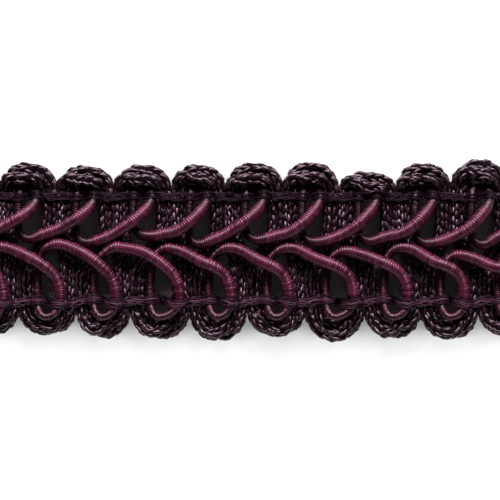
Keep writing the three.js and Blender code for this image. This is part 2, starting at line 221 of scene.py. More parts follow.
def round_points(loop, edge, crossing):
    """One ground cord round one scallop. crossing is 1 for the cord that passes over and -1 for the
    other, edge 1 for the upper edge and -1 for the lower."""
    foot = UPPER_FOOT if edge > 0 else LOWER_FOOT
    outward = abs(loop["tip"] - foot) - HEAD_MARGIN - HEAD_INSET - HEAD_SPACING / 2
    points = []
    for angle in ROUND_ANGLES:
        c, s = math.cos(math.radians(angle)), math.sin(math.radians(angle))
        loose = abs(s) ** LOOSENESS
        spacing = mix(LEG_SPACING, HEAD_SPACING, loose)
        margin = mix(LEG_MARGIN, HEAD_MARGIN + HEAD_INSET, loose)
        across = loop["half"] - margin - spacing / 2
        x = -math.copysign(abs(c) ** ROUND_FULLNESS, c) * across
        y = abs(s) ** ROUND_FULLNESS * outward
        b = math.radians(min(max(angle, FIRST_NORMAL), LAST_NORMAL))
        nx = -math.cos(b) * abs(math.cos(b)) ** (1 - ROUND_FULLNESS) / across
        ny = math.sin(b) * abs(math.sin(b)) ** (1 - ROUND_FULLNESS) / outward
        past = angle - loop["turn"]
        changed = ease(past / CHANGE_SPAN + 0.5)
        swing = 4 * changed * (1 - changed) * CROSSING_SWING
        offset = (crossing * (1 - 2 * changed) * spacing / 2 + swing) / math.hypot(nx, ny)
        if crossing > 0:
            up = ease((past + (UPPER_RISE if edge > 0 else LOWER_RISE)) / RISE_SPAN)
            if edge > 0:
                down = ease((UPPER_FALL_END - angle) / UPPER_FALL_SPAN)
            else:
                down = ease((LOWER_RISE - past) / RISE_SPAN)
            z = mix(GROUND_HEIGHT, LIFT_HEIGHT, up * down)
        else:
            z = mix(GROUND_HEIGHT, DIP_HEIGHT, ease(DIP_REACH - abs(past) / DIP_SPAN))
        points.append((loop["x"] + x + nx * offset, foot + edge * (y + ny * offset), z, loose))
    return points


def leg(start, end, crossing):
    """A leg between two scallops, shifted along the trim only in its middle."""
    (x0, y0), (x1, y1) = start, end
    bends = (SHIFT_FROM, SHIFT_TO) if y0 < y1 else (SHIFT_TO, SHIFT_FROM)
    z = GROUND_HEIGHT + crossing * SHIFT_HEIGHT
    return [
        (x0, y0, GROUND_HEIGHT, 0),
        (x0, bends[0], z, 0),
        (x1, bends[1], z, 0),
        (x1, y1, GROUND_HEIGHT, 0),
    ]


def ground_route(crossing):
    """The ground cord that passes over (1) or under (-1), from cut to cut."""
    upper_loops, lower_loops = named(UPPER_COLUMNS, UPPER_LOOPS), named(LOWER_COLUMNS, LOWER_LOOPS)
    left_inset = LEG_MARGIN + (0 if crossing > 0 else LEG_SPACING)
    right_inset = LEG_MARGIN + (LEG_SPACING if crossing > 0 else 0)

    def left(loop):
        return loop["x"] - loop["half"] + left_inset

    def right(loop):
        return loop["x"] + loop["half"] - right_inset

    points = []
    for k, upper in enumerate(upper_loops):
        start = right(lower_loops[k - 1]) if k else right(lower_loops[0]) - PITCH
        first = (start, LOWER_FOOT + (FOOT_EASE if k else 0))
        last = (left(upper), UPPER_FOOT - (FOOT_EASE if k < SCALLOPS else 0))
        points += leg(first, last, crossing)
        if k == SCALLOPS:
            break
        lower = lower_loops[k]
        points += round_points(upper, 1, crossing)
        down = (right(upper), UPPER_FOOT - FOOT_EASE)
        points += leg(down, (left(lower), LOWER_FOOT + FOOT_EASE), crossing)
        points += round_points(lower, -1, crossing)
    return np.array(points, dtype=float)


def shift_of(loop, x):
    """How far a sweep lies from its usual course, x from the middle of the scallop it ends in."""
    knots = [
        (HOOK_AT, loop["hook"]),
        (BELLY_AT, loop["belly"]),
        (RISE_AT, loop["rise"]),
        (SETTLED_AT, 0.0),
    ]
    if x <= knots[0][0]:
        return knots[0][1]
    for (a, p), (b, q) in zip(knots, knots[1:]):
        if x <= b:
            return mix(p, q, ease((x - a) / (b - a)))
    return 0.0


def satin_route(loops, sweep, back, return_offset, cuts, follows_tip):
    """A satin cord from cut to cut: into every scallop, round in it, and back to the next sweep."""
    points = []
    for k, loop in enumerate(loops):
        foot = loop.get("foot", 0.0)
        for x, y, z, full in sweep:
            if (k == 0 and x < cuts[0]) or (k == SCALLOPS and x > cuts[1]):
                continue
            if x < sweep[2][0]:
                place = loops[k - 1]["x"] + return_offset + x - sweep[0][0]
            else:
                place = loop["x"] + x + foot * ease((x - FOOT_FROM) / FOOT_SPAN)
            height = min(z, OVER_HEIGHT) if k == SCALLOPS else z
            points.append((place, y + shift_of(loop, x), height, full))
        if k == SCALLOPS:
            break
        for x, y, z, full, share in back:
            if follows_tip:
                x *= loop["half"] / USUAL_HALF
                y += share * (loop["tip"] - USUAL_TIP)
            else:
                x += foot * share
            points.append((loop["x"] + x, y, z, full))
    return np.array(points, dtype=float)


def smooth_curve(points, per_span=16):
    """Centripetal Catmull-Rom curve through the points, whose later columns are carried along."""
    p = np.vstack([2 * points[0] - points[1], points, 2 * points[-1] - points[-2]])
    knots = np.r_[0, np.cumsum(np.linalg.norm(np.diff(p[:, :3], axis=0), axis=1) ** 0.5)]
    p0, p1, p2, p3 = (p[i : len(p) - 3 + i, None, :] for i in range(4))
    t0, t1, t2, t3 = (knots[i : len(p) - 3 + i, None, None] for i in range(4))
    t = t1 + (t2 - t1) * np.linspace(0, 1, per_span, endpoint=False)[None, :, None]

    def between(a, b, ta, tb):
        return ((tb - t) * a + (t - ta) * b) / (tb - ta)

    a1, a2, a3 = between(p0, p1, t0, t1), between(p1, p2, t1, t2), between(p2, p3, t2, t3)
    b1, b2 = between(a1, a2, t0, t2), between(a2, a3, t1, t3)
    return np.vstack([between(b1, b2, t1, t2).reshape(-1, p.shape[-1]), points[-1]])


def soften(line, sigma):
    """The line with its sharp bends rounded, its two ends kept."""
    reach = int(3 * sigma)
    weights = np.exp(-0.5 * (np.arange(-reach, reach + 1) / sigma) ** 2)
    weights /= weights.sum()
    padded = np.vstack(
        [2 * line[0] - line[reach:0:-1], line, 2 * line[-1] - line[-2 : -reach - 2 : -1]]
    )
    columns = range(line.shape[1])
    return np.stack([np.convolve(padded[:, i], weights, "valid") for i in columns], axis=1)


class Route:
    """A cord's middle line, measured along its length, with an upward and a sideways direction, and
    how far the cord reaches sideways and up."""

    def __init__(self, points, slim, full, step=0.02, softness=0.08):
        line = smooth_curve(points)
        travelled = np.r_[0, np.cumsum(np.linalg.norm(np.diff(line[:, :3], axis=0), axis=1))]
        even = np.linspace(0, travelled[-1], int(travelled[-1] / step))
        line = np.stack([np.interp(even, travelled, line[:, i]) for i in range(4)], axis=1)
        line = soften(line, softness / step)
        share = np.clip(line[:, 3:], 0, 1)
        self.reach = np.array(slim) + (np.array(full) - np.array(slim)) * share
        self.line = line[:, :3]
        self.s = np.r_[0, np.cumsum(np.linalg.norm(np.diff(self.line, axis=0), axis=1))]
        self.length = self.s[-1]
        self.tangent = unit(np.gradient(self.line, self.s, axis=0))
        self.up = unit(np.array([0.0, 0.0, 1.0]) - self.tangent[:, 2:] * self.tangent)
        self.side = np.cross(self.up, self.tangent)

    def at(self, s, values):
        return np.stack([np.interp(s, self.s, v) for v in values.T], axis=-1)

    def surface(self, s, turn, lower):
        """Points at distance s, turned from the top by the angle, that far below the cord's skin,
        and the outward direction there."""
        across, height = np.moveaxis(self.at(s, self.reach), -1, 0)
        up, side = self.at(s, self.up), self.at(s, self.side)
        upward, sideward = np.cos(turn)[..., None] * up, np.sin(turn)[..., None] * side
        skin = upward * height[..., None] + sideward * across[..., None]
        outward = unit(upward / height[..., None] + sideward / across[..., None])
        return self.at(s, self.line) + skin - lower[..., None] * outward, outward


WAVE_STRENGTH = (0.6, 1.0)


def waves(s, rng, wavelengths, amount):
    """A smooth uneven curve over s, made of a few waves."""
    total = np.zeros_like(s)
    for wavelength in wavelengths:
        wave = np.sin(2 * math.pi * (s / wavelength + rng.random()))
        total += wave * rng.uniform(*WAVE_STRENGTH)
    return total * amount / len(wavelengths)


# The meshes

PRESSED = 0.03  # the floor presses flat what hangs lower than this


def strands(name, rings, poles, weave, node, slot, material):
    """One piece of many closed strands. rings is (strands, rings, sides, 3), poles (strands, 2, 3)
    and weave (strands, rings, sides, 3): how far along and around in millimetres, and the shade, a
    number that grows where the yarn is lighter."""
    count, length, sides = rings.shape[:3]
    per_strand = length * sides + 2
    vertices = np.concatenate([rings.reshape(count, -1, 3), poles], axis=1)
    height = vertices[..., 2]
    flattened = PRESSED * np.exp(np.minimum(height / PRESSED, 1) - 1)
    vertices[..., 2] = np.where(height < PRESSED, flattened, height)
    ends = np.stack([weave[:, 0].mean(1), weave[:, -1].mean(1)], axis=1)
    coordinates = np.concatenate([weave.reshape(count, -1, 3), ends], axis=1)

    around = np.arange(sides)
    after = (around + 1) % sides
    row = np.arange(length - 1)[:, None] * sides
    quads = np.stack(
        [row + around, row + after, row + sides + after, row + sides + around], axis=-1
    )
    first, last = length * sides, length * sides + 1
    far = (length - 1) * sides
    caps = np.concatenate(
        [
            np.stack([after, around, np.full(sides, first)], axis=-1),
            np.stack([far + around, far + after, np.full(sides, last)], axis=-1),
        ]
    )
    shift = np.arange(count)[:, None, None] * per_strand
    quads = (quads.reshape(1, -1, 4) + shift).reshape(-1, 4)
    caps = (caps[None] + shift).reshape(-1, 3)

    mesh = bpy.data.meshes.new(name)
    mesh.vertices.add(count * per_strand)
    mesh.vertices.foreach_set("co", (vertices * MM).astype(np.float32).ravel())
    mesh.loops.add(quads.size + caps.size)
    mesh.loops.foreach_set("vertex_index", np.r_[quads.ravel(), caps.ravel()].astype(np.int32))
    mesh.polygons.add(len(quads) + len(caps))
    starts = np.r_[np.arange(len(quads)) * 4, quads.size + np.arange(len(caps)) * 3]
    mesh.polygons.foreach_set("loop_start", starts.astype(np.int32))
    mesh.polygons.foreach_set("use_smooth", np.ones(len(starts), dtype=bool))
    mesh.update(calc_edges=True)
    attribute = mesh.attributes.new("weave", "FLOAT_VECTOR", "POINT")
    attribute.data.foreach_set("vector", coordinates.astype(np.float32).ravel())
    mesh.materials.append(material)

    piece = bpy.data.objects.new(name, mesh)
    bpy.context.scene.collection.objects.link(piece)
    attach(piece, "root")
    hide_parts(node)


def tube(route, s, lower, sides):
    """Rings, poles and weave of one cord along its route, with no shade yet. lower is how far each
    point lies below the cord's skin, (s, sides) or (sides)."""
    turn = np.broadcast_to(2 * math.pi * np.arange(sides) / sides, (len(s), sides))
    at = np.broadcast_to(s[:, None], turn.shape)
    points, _ = route.surface(at, turn, np.broadcast_to(lower, turn.shape))
    poles = route.at(s[[0, -1]], route.line)
    weave = np.stack([at, turn * route.reach.mean(), np.zeros(turn.shape)], axis=-1)
    return points[None], poles[None], weave[None]


# Each stitch arm: shares of its length, its width, and how far its middle lies below the highest.
ARM_ALONG = np.array([0.02, 0.15, 0.3, 0.55, 0.8, 0.98])
ARM_WIDTH = np.array([0.35, 0.85, 1.0, 0.95, 0.7, 0.35])
ARM_SINK = np.array([0.7, 0.15, 0.0, 0.33, 0.7, 1.0])
ARM_SIDES = 6
ARM_LENGTH = 1.08
ARM_HALF_WIDTH = 0.122  # on a leg; the arms widen with the cord
ARM_HALF_DEPTH = 0.1
ARM_DEPTH = 0.26  # how far the ends of an arm dip under its neighbours
ARM_SPREAD = (0.05, 1.0)  # radians from the middle of the wale, at its two ends
ARM_BOW = 0.8  # under 1 an arm leans away early
ARM_LAG = 0.4  # one arm of a stitch starts this far after the other, in stitches
ARM_TILT = 0.12  # radians by which each arm rolls away from its partner
ARM_TIP = 0.03  # how far an arm's point reaches past its last ring, and how far it drops
ARM_TIP_DROP = 0.02
STITCH_PITCH = 0.62
WALES = 4
HEAD_PAINTED_SHADE = 0.5  # painted shade on the scallops' heads, where the cord opens up

# How uneven the stitches are, in the order of the draws.
COURSE_WAVES, COURSE_WANDER = (3.1, 1.7), 0.05
TWIST_WAVES, TWIST = (31, 13, 7.3), 1.3  # radians that the wales wander round the cord
LENGTH_RANGE = (0.92, 1.02)
START_SPREAD = 0.04
LEAN_SPREAD = 0.14
DEPTH_SPREAD = 0.012
ROLL_SPREAD = 0.22
SIZE_RANGE = (0.85, 1.12)

CORE_DEPTH = 0.15
CORE_REST = -0.05  # the lower side of the core bulges out and rests on the floor
CORE_UNDERSIDE = -0.5  # cosine of the turn from the top, below which a side faces down
CORE_SIDES = 8
CORE_STEP = 0.3
CORE_END = 0.04  # how far inside the cord's cuts its core, its courses and its arms end
COURSE_END = 0.05
ARM_END = 0.02


def knitted(name, crossing, node, slot, yarn, dark, seed):
    """A knitted cord: round a core painted darker than the yarn, a painted shade in the gaps
    between the stitches, columns of stitches, each stitch two drop-shaped arms that lean apart,
    come up between the arms below and go under the ones above."""
    rng = np.random.default_rng(seed)
    route = Route(
        ground_route(crossing), (LEG_HALF_WIDTH, LEG_HALF_HEIGHT), (HEAD_RADIUS, HEAD_RADIUS)
    )
    s = np.arange(CORE_END, route.length - CORE_END, CORE_STEP)
    below = np.cos(2 * math.pi * np.arange(CORE_SIDES) / CORE_SIDES) < CORE_UNDERSIDE
    depth = np.where(below, CORE_REST, CORE_DEPTH)
    strands(name + "_core", *tube(route, s, depth, CORE_SIDES), node, slot, dark)

    courses = np.arange(COURSE_END, route.length - ARM_LENGTH - COURSE_END, STITCH_PITCH)
    courses = courses + waves(courses, rng, COURSE_WAVES, COURSE_WANDER)
    twist = waves(courses, rng, TWIST_WAVES, TWIST)
    start, wale, hand = (
        a.ravel() for a in np.meshgrid(courses, np.arange(WALES), (-1, 1), indexing="ij")
    )
    twist = np.repeat(twist, WALES * 2)
    count = len(start)
    along = ARM_ALONG[None, :]
    length = ARM_LENGTH * rng.uniform(*LENGTH_RANGE, (count, 1))
    start = start + STITCH_PITCH * (wale / WALES + np.maximum(hand, 0) * ARM_LAG)
    start = start[:, None] + rng.normal(0, START_SPREAD, (count, 1))
    start = np.minimum(start, route.length - ARM_LENGTH - ARM_END)
    centre = twist[:, None] + wale[:, None] * 2 * math.pi / WALES
    lean = rng.normal(0, LEAN_SPREAD, (count, 1))
    turn = centre + hand[:, None] * mix(*ARM_SPREAD, along**ARM_BOW) + lean
    rising = route.at(start[:, 0] + ARM_LENGTH / 2, route.tangent)[:, 1:2] >= 0
    sink = np.where(rising, ARM_SINK, np.interp(1 - ARM_ALONG, ARM_ALONG, ARM_SINK))
    width = np.where(rising, ARM_WIDTH, np.interp(1 - ARM_ALONG, ARM_ALONG, ARM_WIDTH))
    lower = ARM_HALF_DEPTH + rng.normal(0, DEPTH_SPREAD, (count, 1)) + ARM_DEPTH * sink
    middle, outward = route.surface(start + along * length, turn, lower)
    direction = unit(np.gradient(middle, axis=1))
    sideways = unit(np.cross(direction, outward))
    roll = rng.normal(0, ROLL_SPREAD, (count, 1, 1)) - ARM_TILT * hand[:, None, None]
    outward = np.cross(sideways, direction)
    sideways, outward = (
        np.cos(roll) * sideways + np.sin(roll) * outward,
        np.cos(roll) * outward - np.sin(roll) * sideways,
    )
    wide = route.at(start + along * length, route.reach)[..., 0] / LEG_HALF_WIDTH
    opened = (wide - 1) / (HEAD_RADIUS / LEG_HALF_WIDTH - 1)
    size = width * np.sqrt(wide) * rng.uniform(*SIZE_RANGE, (count, 1))
    ring = 2 * math.pi * (np.arange(ARM_SIDES) + 0.5) / ARM_SIDES
    rings = (
        middle[:, :, None]
        + (ARM_HALF_WIDTH * size[..., None] * np.cos(ring))[..., None] * sideways[:, :, None]
        + (ARM_HALF_DEPTH * size[..., None] * np.sin(ring))[..., None] * outward[:, :, None]
    )
    tips = np.stack(
        [
            middle[:, 0] - direction[:, 0] * ARM_TIP - outward[:, 0] * ARM_TIP_DROP,
            middle[:, -1] + direction[:, -1] * ARM_TIP - outward[:, -1] * ARM_TIP_DROP,
        ],
        axis=1,
    )
    shape = rings.shape[:3]
    # The stitches' shade: a random tone for each arm, less a painted shade where the cord opens up
    # in a scallop.
    shade = rng.random((count, 1, 1)) - HEAD_PAINTED_SHADE * opened[..., None]
    weave = np.stack(
        [
            np.broadcast_to((along * length)[:, :, None], shape),
            np.broadcast_to(ring * ARM_HALF_WIDTH, shape),
            np.broadcast_to(shade, shape),
        ],
        axis=-1,
    )
    half = count // 2
    for part, chosen in (("_first", slice(0, half)), ("_second", slice(half, count))):
        strands(name + part, rings[chosen], tips[chosen], weave[chosen], node, slot, yarn)
    return route


WRAP_PITCH = 0.155  # between the turns of the wound thread
WRAP_SAMPLES = 6  # rings to a turn
WRAP_SIDES = 13
WRAP_RELIEF = 0.05
WRAP_LEAN = 0.6  # a turn moves this far along on its way round, in pitches
WRAP_FLATNESS = 2.4  # power that shapes a ridge, broad at its top
WRAP_HEIGHTS = (0.6, 1.2)  # of the ridges, as shares of the relief
WRAP_TALLEST = 1.25  # the ridge height whose shade is 1; lower ridges and the grooves get a painted shade
WANDER_WAVES, WANDER = (0.83, 1.9, 0.47), 0.03  # of the turns, along the cord
BODY_WAVES, BODY_WANDER = (5.3, 2.1, 0.9), 0.012  # of the cord's thickness


def satin(name, route, slim_painted_shade, node, slot, material, seed):
    """A satin cord: thread wound closely round a core, every turn of it a ridge. The third argument
    is how much lower the thread's shade is where the cord is slim: a painted shade on the ways
    back, which lie in the shadow of the cords round them."""
    rng = np.random.default_rng(seed)
    s = np.arange(0, route.length, WRAP_PITCH / WRAP_SAMPLES)
    turn = 2 * math.pi * np.arange(WRAP_SIDES) / WRAP_SIDES
    wander = waves(s, rng, WANDER_WAVES, WANDER)
    turns = (s + wander)[:, None] / WRAP_PITCH + WRAP_LEAN * turn / (2 * math.pi)
    turns = np.maximum(turns, 0)
    height = rng.uniform(*WRAP_HEIGHTS, int(turns.max()) + 2)
    ridge = 1 - np.abs(2 * (turns % 1) - 1) ** WRAP_FLATNESS
    body = waves(s, rng, BODY_WAVES, BODY_WANDER)[:, None]
    lower = WRAP_RELIEF * (1 - height[turns.astype(int)] * ridge) + body
    rings, poles, weave = tube(route, s, lower, WRAP_SIDES)
    slim = (SATIN_FULL - route.at(s, route.reach)[:, :1]) / (SATIN_FULL - SATIN_SLIM)
    # The shade follows the ridges' height, a painted shade in the grooves, and drops where the cord
    # is slim, a painted shade on the ways back.
    weave[0, :, :, 2] = height[turns.astype(int)] * ridge / WRAP_TALLEST - slim_painted_shade * slim
    strands(name, rings, poles, weave, node, slot, material)


STRAYS = 26  # on each cord that has them
STRAY_RADIUS = 0.009
STRAY_RINGS = 14
STRAY_SIDES = 4
STRAY_END = 2  # none starts nearer to a cut than this
STRAY_TURN = 0.8  # radians from the top of the cord, at most
STRAY_ROOT = 0.03  # how far below the skin one starts
STRAY_SPREAD = 0.9  # how much its way departs from the cord's
STRAY_STEEPNESS = 0.12
STRAY_BEND = 0.35
STRAY_LENGTHS = (0.8, 2.0)
STRAY_LIFT = 0.12  # how high it arches off the cord, and the angle of that arch
STRAY_ARCH = 3


def stray_filaments(name, route, node, slot, material, seed):
    """Loose filaments that spring from a cord and lie over what is beside it."""
    rng = np.random.default_rng(seed)
    rings, poles, weave = [], [], []
    t = np.linspace(0, 1, STRAY_RINGS)[:, None]
    for start in rng.uniform(STRAY_END, route.length - STRAY_END, STRAYS):
        place = np.array([start])
        turn = rng.uniform(-STRAY_TURN, STRAY_TURN, 1)
        root, skin = route.surface(place, turn, np.array([STRAY_ROOT]))
        way = unit(route.at(place, route.tangent) + rng.normal(0, STRAY_SPREAD, (1, 3)))
        way = way * (1, 1, STRAY_STEEPNESS)
        bend = np.cross(way, (0, 0, 1)) * rng.normal(0, STRAY_BEND)
        line = root + way * t * rng.uniform(*STRAY_LENGTHS) + bend * t**2
        line = line + skin * STRAY_LIFT * np.sin(STRAY_ARCH * t)
        add_thread(line, STRAY_RADIUS, rng.random(), rings, poles, weave, STRAY_SIDES)
    strands(name, np.stack(rings), np.stack(poles), np.stack(weave), node, slot, material)


CHUNK = 200  # places compared at a time, to save memory


def height_over(routes, y, xs, clear):
    """The height at which a thread along x, at its own y, just clears all the cords."""
    top = np.full(len(xs), clear)
    for route in routes:
        reach = route.reach[:, 0] + clear
        near = (route.line[:, 1] > y.min() - reach) & (route.line[:, 1] < y.max() + reach)
        line, height = route.line[near], route.reach[near, 1] + clear
        reach = reach[near]
        for begin in range(0, len(xs), CHUNK):
            part = slice(begin, begin + CHUNK)
            gap = (xs[part, None] - line[None, :, 0]) ** 2
            gap = gap + (y[part, None] - line[None, :, 1]) ** 2
            share = np.sqrt(np.maximum(1 - gap / reach**2, 0))
            over = np.where(share > 0, line[None, :, 2] + height * share, 0)
            top[part] = np.maximum(top[part], over.max(1))
    return top


THREAD_STEP = 0.1
THREAD_SIDES = 6
THREAD_END = 0.05  # the threads end this far inside the ends of the band's solid
THREAD_SAG = 6.0  # how quickly a binding thread falls away beside what carries it
THREAD_WINDOW = 9  # steps each way over which it does
THREAD_SMOOTHING = (0.25, 0.5, 0.25)
THREAD_SIZES = (0.85, 1.1)
FACE_THREADS = 6
FACE_LOWEST = 3  # radii above the floor
UNDER_THREADS = 4
UNDER_HEIGHT = 0.056

# How the threads wander: all of a band, each face thread across and up, and each under thread.
BAND_WAVES, BAND_WANDER = (9.7, 5.3, 2.3), 0.12
FACE_WAVES, FACE_WANDER = (2.9, 1.3, 0.8), 0.1
LIFT_WAVES, LIFT_WANDER = (0.7, 1.3), 0.015
UNDER_WAVES, UNDER_WANDER = (3.7, 1.9), 0.03


def binding(name, middle, spacing, slant, routes, node, slot, material, seed):
    """A band of binding threads: the face threads lie over the feet and drop into the gaps between
    them, and the under threads lie flat below. slant is the band's own shift across the trim, over
    x."""
    rng = np.random.default_rng(seed)
    low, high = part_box(node)
    xs = np.arange(low[0] / MM + THREAD_END, high[0] / MM - THREAD_END, THREAD_STEP)
    rings, poles, weave = [], [], []
    steps = np.arange(-THREAD_WINDOW, THREAD_WINDOW + 1)
    together = waves(xs, rng, BAND_WAVES, BAND_WANDER)
    for i in range(FACE_THREADS):
        y = middle + slant(xs) + together + (i - (FACE_THREADS - 1) / 2) * spacing
        y = y + waves(xs, rng, FACE_WAVES, FACE_WANDER)
        top = height_over(routes, y, xs, THREAD_RADIUS)
        padded = np.pad(top, THREAD_WINDOW, mode="edge")
        fallen = []
        for step in steps:
            beside = padded[THREAD_WINDOW + step : THREAD_WINDOW + step + len(xs)]
            fallen.append(beside - THREAD_SAG * (step * THREAD_STEP) ** 2)
        z = np.maximum(np.max(fallen, axis=0), THREAD_RADIUS * FACE_LOWEST)
        z = np.convolve(np.pad(z, 1, mode="edge"), THREAD_SMOOTHING, "valid")
        line = np.stack([xs, y, z + waves(xs, rng, LIFT_WAVES, LIFT_WANDER)], axis=1)
        radius = THREAD_RADIUS * rng.uniform(*THREAD_SIZES)
        add_thread(line, radius, rng.random(), rings, poles, weave)
    for i in range(UNDER_THREADS):
        y = middle + (i - (UNDER_THREADS - 1) / 2) * spacing
        y = y + waves(xs, rng, UNDER_WAVES, UNDER_WANDER)
        line = np.stack([xs, y, np.full(len(xs), UNDER_HEIGHT)], axis=1)
        add_thread(line, THREAD_RADIUS, rng.random(), rings, poles, weave)
    strands(name, np.stack(rings), np.stack(poles), np.stack(weave), node, slot, material)


def add_thread(line, radius, shade, rings, poles, weave, sides=THREAD_SIDES):
    """Adds one round thread along the line to the three lists."""
    tangent = unit(np.gradient(line, axis=0))
    up = unit(np.array([0.0, 0.0, 1.0]) - tangent[:, 2:] * tangent)
    side = np.cross(up, tangent)
    ring = 2 * math.pi * (np.arange(sides) + 0.5) / sides
    rings.append(
        line[:, None]
        + radius * np.cos(ring)[None, :, None] * side[:, None]
        + radius * np.sin(ring)[None, :, None] * up[:, None]
    )
    poles.append(line[[0, -1]])
    travelled = np.r_[0, np.cumsum(np.linalg.norm(np.diff(line, axis=0), axis=1))]
    shape = (len(line), sides)
    along = np.broadcast_to(travelled[:, None], shape)
    around = np.broadcast_to(ring * radius, shape)
    weave.append(np.stack([along, around, np.full(shape, shade)], axis=-1))


# The materials


class Nodes:
    """A new material's node tree, with short calls for the nodes that the yarns use."""

    def __init__(self, name):
        self.material = bpy.data.materials.new(name)
        self.material.use_nodes = True
        self.tree = self.material.node_tree
        self.tree.nodes.clear()
        self.shader = self.tree.nodes.new("ShaderNodeBsdfPrincipled")
        output = self.tree.nodes.new("ShaderNodeOutputMaterial")
        self.tree.links.new(self.shader.outputs[0], output.inputs["Surface"])

    def add(self, kind, inputs=None, **settings):
        node = self.tree.nodes.new("ShaderNode" + kind)
        for key, value in settings.items():
            setattr(node, key, value)
        for key, value in (inputs or {}).items():
            self.put(node.inputs[key], value)
        return node

    def put(self, socket, value):
        if isinstance(value, bpy.types.NodeSocket):
            self.tree.links.new(value, socket)
        else:
            socket.default_value = value

    def math(self, operation, a, b):
        return self.add("Math", {0: a, 1: b}, operation=operation).outputs[0]

    def vector(self, x, y, z):
        return self.add("CombineXYZ", {0: x, 1: y, 2: z}).outputs[0]

    def noise(self, vector, scale, detail):
        settings = {"Vector": vector, "Scale": scale, "Detail": detail}
        return self.add("TexNoise", settings).outputs["Fac"]

    def ramp(self, factor, stops):
        node = self.add("ValToRGB", {0: factor})
        elements = node.color_ramp.elements
        while len(elements) < len(stops):
            elements.new(0.5)
        for element, (position, colour) in zip(elements, stops):
            element.position = position
            element.color = (*colour, 1)
        return node.outputs[0]


# How a yarn's colour and gloss vary. The rates are changes of the pattern in a millimetre.
FILAMENT_ALONG = 1.6
FILAMENT_DETAIL = 3.0
PATCH_ALONG, PATCH_AROUND = 2.3, 5.0
PATCH_DETAIL = 2.0
FILAMENT_SHARE, PATCH_SHARE = 0.55, 0.45
STRAND_OFFSET = 40.0  # moves the pattern on from strand to strand
ROUGHNESS_BELOW = 0.12  # the roughness starts this far below the yarn's own, and spans this much
ROUGHNESS_SPAN = 0.25
BUMP_STRENGTH = 0.7
GLOSS_TINT = (0.97, 0.64, 0.8, 1)


def yarn_material(name, stops, streaks, roughness, gloss, relief, spread, cross=False):
    """Filament yarn. stops is the ramp of its colours, streaks the filaments in a millimetre,
    relief how far they stand out, and spread how far the tone follows the shade. The filaments run
    along the strand, or round it where cross is set: there the shade also follows the height of the
    ridges, so that the grooves are darker, a painted shade."""
    n = Nodes(name)
    weave = n.add("Attribute", attribute_name="weave").outputs["Vector"]
    along, around, shade = n.add("SeparateXYZ", {0: weave}).outputs
    if cross:
        along, around = around, along
    offset = 0.0 if cross else n.math("MULTIPLY", shade, STRAND_OFFSET)

    def pattern(along_rate, around_rate, detail):
        stretched = n.vector(
            n.math("MULTIPLY", along, along_rate), n.math("MULTIPLY", around, around_rate), offset
        )
        return n.noise(stretched, 1.0, detail)

    filaments = pattern(FILAMENT_ALONG, streaks, FILAMENT_DETAIL)
    patches = pattern(PATCH_ALONG, PATCH_AROUND, PATCH_DETAIL)
    tone = n.math(
        "ADD",
        n.math("MULTIPLY", filaments, FILAMENT_SHARE),
        n.math("MULTIPLY", patches, PATCH_SHARE),
    )
    followed = n.math("MULTIPLY", n.math("SUBTRACT", shade, 0.5), spread)
    n.put(n.shader.inputs["Base Color"], n.ramp(n.math("ADD", tone, followed), stops))
    rough = n.math("MULTIPLY", filaments, ROUGHNESS_SPAN)
    rough = n.math("ADD", rough, roughness - ROUGHNESS_BELOW)
    n.put(n.shader.inputs["Roughness"], rough)
    n.shader.inputs["Specular IOR Level"].default_value = gloss
    n.shader.inputs["Specular Tint"].default_value = GLOSS_TINT
    bump = n.add(
        "Bump", {"Height": filaments, "Strength": BUMP_STRENGTH, "Distance": relief * MM}
    )
    n.put(n.shader.inputs["Normal"], bump.outputs[0])
    return n.material


FLOOR_GRAIN = 900.0
FLOOR_DETAIL = 2.0
FLOOR_STOPS = [(0.3, (0.61, 0.61, 0.61)), (0.7, (0.65, 0.65, 0.65))]
FLOOR_ROUGHNESS = 0.8
FLOOR_GLOSS = 0.1


def floor_material():
    n = Nodes("pale_floor")
    grain = n.noise(n.add("TexCoord").outputs["Object"], FLOOR_GRAIN, FLOOR_DETAIL)
    n.put(n.shader.inputs["Base Color"], n.ramp(grain, FLOOR_STOPS))
    n.shader.inputs["Roughness"].default_value = FLOOR_ROUGHNESS
    n.shader.inputs["Specular IOR Level"].default_value = FLOOR_GLOSS
    return n.material


# The camera, the floor and the light

FRAME_WIDTH = 35.714  # across the picture
VIEW_X = 0.768  # the trim's middle lies this far left of the picture's
VIEW_PLANE = 1.0  # the height at which the picture has that width
LENS = 150.0
SENSOR = 36.0
NEAR, FAR = 0.005, 5.0  # metres, as are the floor and the lights
FLOOR_HALF = 1.2
LIGHT_DISTANCE = 0.5
WORLD_STRENGTH = 0.03


def add_camera():
    data = bpy.data.cameras.new("camera")
    data.lens, data.sensor_width = LENS, SENSOR
    data.clip_start, data.clip_end = NEAR, FAR
    camera = bpy.data.objects.new("camera", data)
    camera.location = (VIEW_X * MM, 0.0, (FRAME_WIDTH * LENS / SENSOR + VIEW_PLANE) * MM)
    bpy.context.scene.collection.objects.link(camera)
    bpy.context.scene.camera = camera


def add_floor():
    mesh = bpy.data.meshes.new("floor")
    corners = [(-1, -1), (1, -1), (1, 1), (-1, 1)]
    mesh.from_pydata([(x * FLOOR_HALF, y * FLOOR_HALF, 0) for x, y in corners], [], [(0, 1, 2, 3)])
    mesh.materials.append(floor_material())
    floor = bpy.data.objects.new("floor", mesh)
    bpy.context.scene.collection.objects.link(floor)
    floor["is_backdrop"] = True
    return floor


